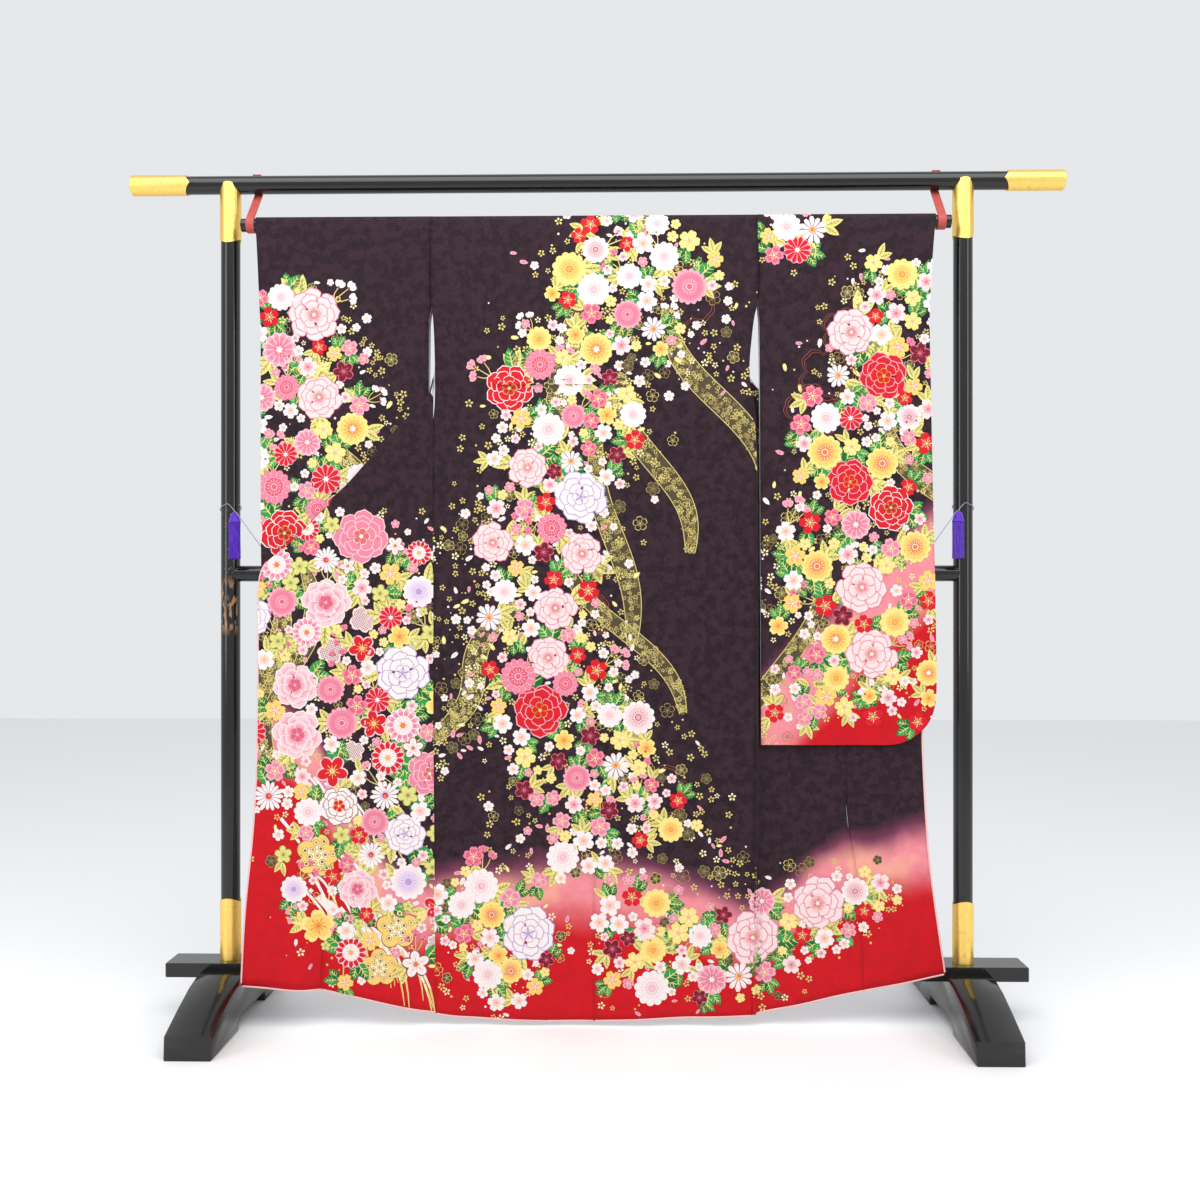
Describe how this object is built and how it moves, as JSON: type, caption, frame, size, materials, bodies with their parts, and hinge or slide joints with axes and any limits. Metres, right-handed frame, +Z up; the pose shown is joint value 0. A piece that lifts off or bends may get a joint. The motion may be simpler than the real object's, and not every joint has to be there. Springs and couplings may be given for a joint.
{
  "type": "furisode on a kimono stand",
  "caption": "Long-sleeved silk kimono hung open over the rod of a black lacquered stand, back to the viewer, with one front drawn across each sleeve; gilt fittings and tassels.",
  "frame": {"origin": "on the floor, under the middle of the stand", "axes": "+Z up, +X along the rail to the viewer's right as the garment's back is seen, +Y away from that viewer"},
  "size_m": [1.862, 0.486, 1.6898],
  "materials": {
    "black_lacquer": "polished black lacquer",
    "gilt": "pale gold gilding, polished",
    "red_strap": "muted red, satin",
    "purple_silk": "silk strands with a soft sheen",
    "grey_silk": "twisted thread",
    "dyed_silk": "crepe silk, plum-brown ground shading to pink and red, with dyed flowers",
    "dyed_collar": "crepe silk, plum-brown"
  },
  "bodies": {
    "root": {"top_rail": "black_lacquer", "mid_rail": "black_lacquer", "hanging_rod": "black_lacquer", "post_left": "black_lacquer", "post_right": "black_lacquer", "foot_beam_left": "black_lacquer", "foot_plank_left": "black_lacquer", "foot_beam_right": "black_lacquer", "foot_plank_right": "black_lacquer", "rail_cap_left": "gilt", "rail_cap_right": "gilt", "post_top_fitting_left": "gilt", "post_bottom_fitting_left": "gilt", "post_top_fitting_right": "gilt", "post_bottom_fitting_right": "gilt", "hook_left": "red_strap", "hook_right": "red_strap", "tassel_left": "purple_silk", "tassel_right": "purple_silk", "tassel_cord_left": "grey_silk", "tassel_cord_right": "grey_silk", "back_left": "dyed_silk", "back_right": "dyed_silk", "front_left": "dyed_silk", "front_right": "dyed_silk", "okumi_left": "dyed_silk", "okumi_right": "dyed_silk", "sleeve_left": "dyed_silk", "sleeve_right": "dyed_silk", "collar_back": "dyed_collar", "collar_left": "dyed_collar", "collar_right": "dyed_collar", "collar_left_end": "dyed_collar"}
  },
  "joints": []
}
